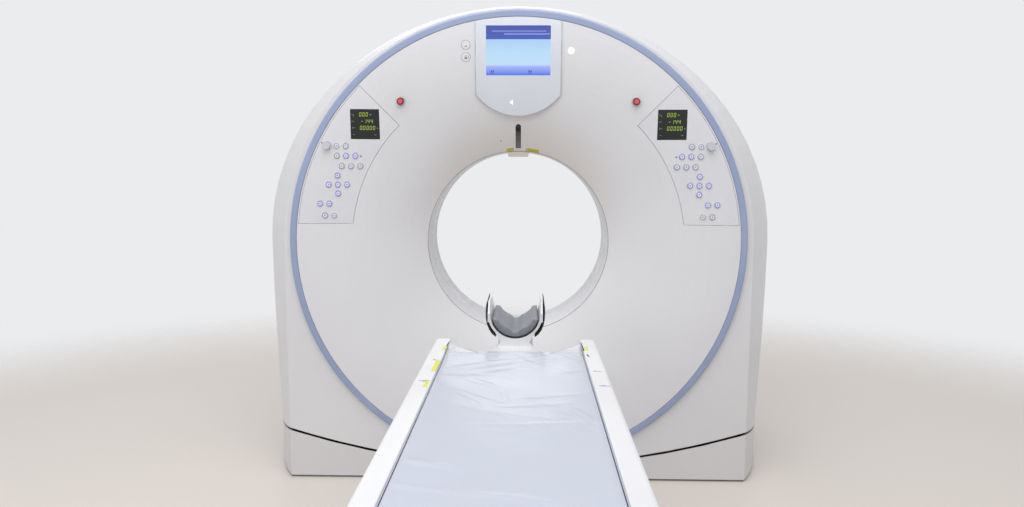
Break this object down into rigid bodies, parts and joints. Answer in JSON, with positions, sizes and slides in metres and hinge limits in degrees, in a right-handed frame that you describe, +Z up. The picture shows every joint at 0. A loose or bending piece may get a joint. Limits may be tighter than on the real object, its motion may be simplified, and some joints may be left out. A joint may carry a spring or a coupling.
{
  "type": "ct scanner",
  "caption": "Computed tomography scanner: tilting ring-shaped gantry with a dished front around the patient bore, control panels and screen, and a lifting couch with a sliding top and head cup.",
  "frame": {"origin": "on the floor below the crossing of the bore axis and the tilt axis", "axes": "+X to the right seen from the couch, +Y from the couch through the bore, +Z up"},
  "size_m": [2.27, 3.974, 2.04],
  "materials": {
    "casing": "satin",
    "base_cover": "satin",
    "front_moulding": "satin",
    "ring_blue": "satin",
    "display_housing": "satin",
    "screen": "gloss",
    "readout": "gloss",
    "key": "satin",
    "black_window": "gloss",
    "lamp": "gloss",
    "window_film": "satin",
    "stop_red": "satin",
    "knob": "satin",
    "painted_frame": "satin",
    "cast_frame": "satin",
    "machined_steel": "satin",
    "column_alu": "satin",
    "copper": "satin",
    "slip_tracks": "satin",
    "brush_holder": "matte",
    "tube_housing": "satin",
    "detector": "satin",
    "generator": "satin",
    "weight": "matte",
    "couch_white": "satin",
    "couch_alu": "satin",
    "carbon": "satin",
    "mattress": "satin",
    "foam": "matte",
    "black_liner": "matte",
    "motor": "satin"
  },
  "bodies": {
    "base": {"base_frame": "painted_frame", "base_front_cover": "base_cover", "base_rear_cover": "base_cover", "left_upright": "painted_frame", "right_upright": "painted_frame", "tilt_drive_unit": "motor", "cable_duct": "couch_white", "couch_base_frame": "painted_frame", "couch_lower_cover": "couch_white", "column_outer_tube": "column_alu"},
    "pinion": {"tilt_pinion": "machined_steel"},
    "gantry": {"tilt_frame": "cast_frame", "tilt_sector_gear": "machined_steel", "outer_shell": "casing", "front_cover": "front_moulding", "accent_ring": "ring_blue", "rear_cover": "casing", "rear_funnel": "front_moulding", "scan_window": "window_film", "display_panel": "display_housing", "touch_screen": "screen", "left_control_panel": "front_moulding", "right_control_panel": "front_moulding", "readouts": "readout", "keypads": "key", "laser_window": "black_window", "bore_tab": "display_housing", "indicator_lamps": "lamp", "main_bearing_outer": "machined_steel", "drive_stator": "copper", "brush_block": "brush_holder"},
    "rotor": {"rotor_drum": "cast_frame", "main_bearing_inner": "machined_steel", "slip_ring": "slip_tracks", "xray_tube_unit": "tube_housing", "collimator": "tube_housing", "detector_array": "detector", "high_voltage_generator": "generator", "counterweight": "weight"},
    "left_stop": {"left_emergency_stop": "stop_red"},
    "right_stop": {"right_emergency_stop": "stop_red"},
    "left_button": {"left_hold_button": "knob"},
    "right_button": {"right_hold_button": "knob"},
    "lift_stage": {"column_middle_tube": "column_alu", "couch_middle_cover": "couch_white"},
    "couch_top": {"column_inner_tube": "column_alu", "couch_frame": "couch_alu", "couch_upper_cover": "couch_white", "left_side_rail": "couch_white", "right_side_rail": "couch_white", "couch_end_cover": "couch_white", "table_drive_motor": "motor"},
    "table": {"tabletop": "carbon", "mattress": "mattress", "table_carriage": "couch_alu", "headrest_cradle": "couch_white", "headrest_liner": "black_liner", "headrest_pad": "foam"},
    "table_screw": {"drive_screw": "machined_steel"},
    "table_roller": {"support_roller": "black_liner"}
  },
  "joints": [
    {"name": "gantry_tilt", "type": "hinge", "parent": "base", "child": "gantry", "pos_m": [0, 0, 1.02], "axis": [-1, 0, 0], "range_deg": [-30, 30]},
    {"name": "pinion_turn", "type": "hinge", "parent": "base", "child": "pinion", "pos_m": [-0.89, 0.09823, 0.57061], "axis": [1, 0, 0], "range_deg": [-201, 201]},
    {"name": "rotor_spin", "type": "hinge", "parent": "gantry", "child": "rotor", "pos_m": [0, 0, 1.02], "axis": [0, 1, 0], "continuous": true},
    {"name": "left_stop_press", "type": "slide", "parent": "gantry", "child": "left_stop", "axis": [0, 1, 0], "range_m": [0, 0.006]},
    {"name": "right_stop_press", "type": "slide", "parent": "gantry", "child": "right_stop", "axis": [0, 1, 0], "range_m": [0, 0.006]},
    {"name": "left_hold_press", "type": "slide", "parent": "gantry", "child": "left_button", "axis": [0, 1, 0], "range_m": [0, 0.005], "stiffness_N_per_m": 800, "springref_m": -0.002},
    {"name": "right_hold_press", "type": "slide", "parent": "gantry", "child": "right_button", "axis": [0, 1, 0], "range_m": [0, 0.005], "stiffness_N_per_m": 800, "springref_m": -0.002},
    {"name": "couch_lift", "type": "slide", "parent": "base", "child": "couch_top", "axis": [0, 0, 1], "range_m": [-0.28, 0.2]},
    {"name": "lift_stage_slide", "type": "slide", "parent": "base", "child": "lift_stage", "axis": [0, 0, 1], "range_m": [-0.14, 0.1]},
    {"name": "table_slide", "type": "slide", "parent": "couch_top", "child": "table", "axis": [0, 1, 0], "range_m": [0, 1.7]},
    {"name": "screw_turn", "type": "hinge", "parent": "couch_top", "child": "table_screw", "pos_m": [0, -2.1, 0.63], "axis": [0, 1, 0], "continuous": true},
    {"name": "roller_turn", "type": "hinge", "parent": "couch_top", "child": "table_roller", "pos_m": [0, -0.895, 0.6347], "axis": [1, 0, 0], "continuous": true}
  ],
  "couplings": [
    {"joint": "pinion_turn", "follows": "gantry_tilt", "ratio": 6.6667},
    {"joint": "lift_stage_slide", "follows": "couch_lift", "ratio": 0.5},
    {"joint": "screw_turn", "follows": "table_slide", "rad_per_m": 157.08},
    {"joint": "roller_turn", "follows": "table_slide", "rad_per_m": -50}
  ]
}
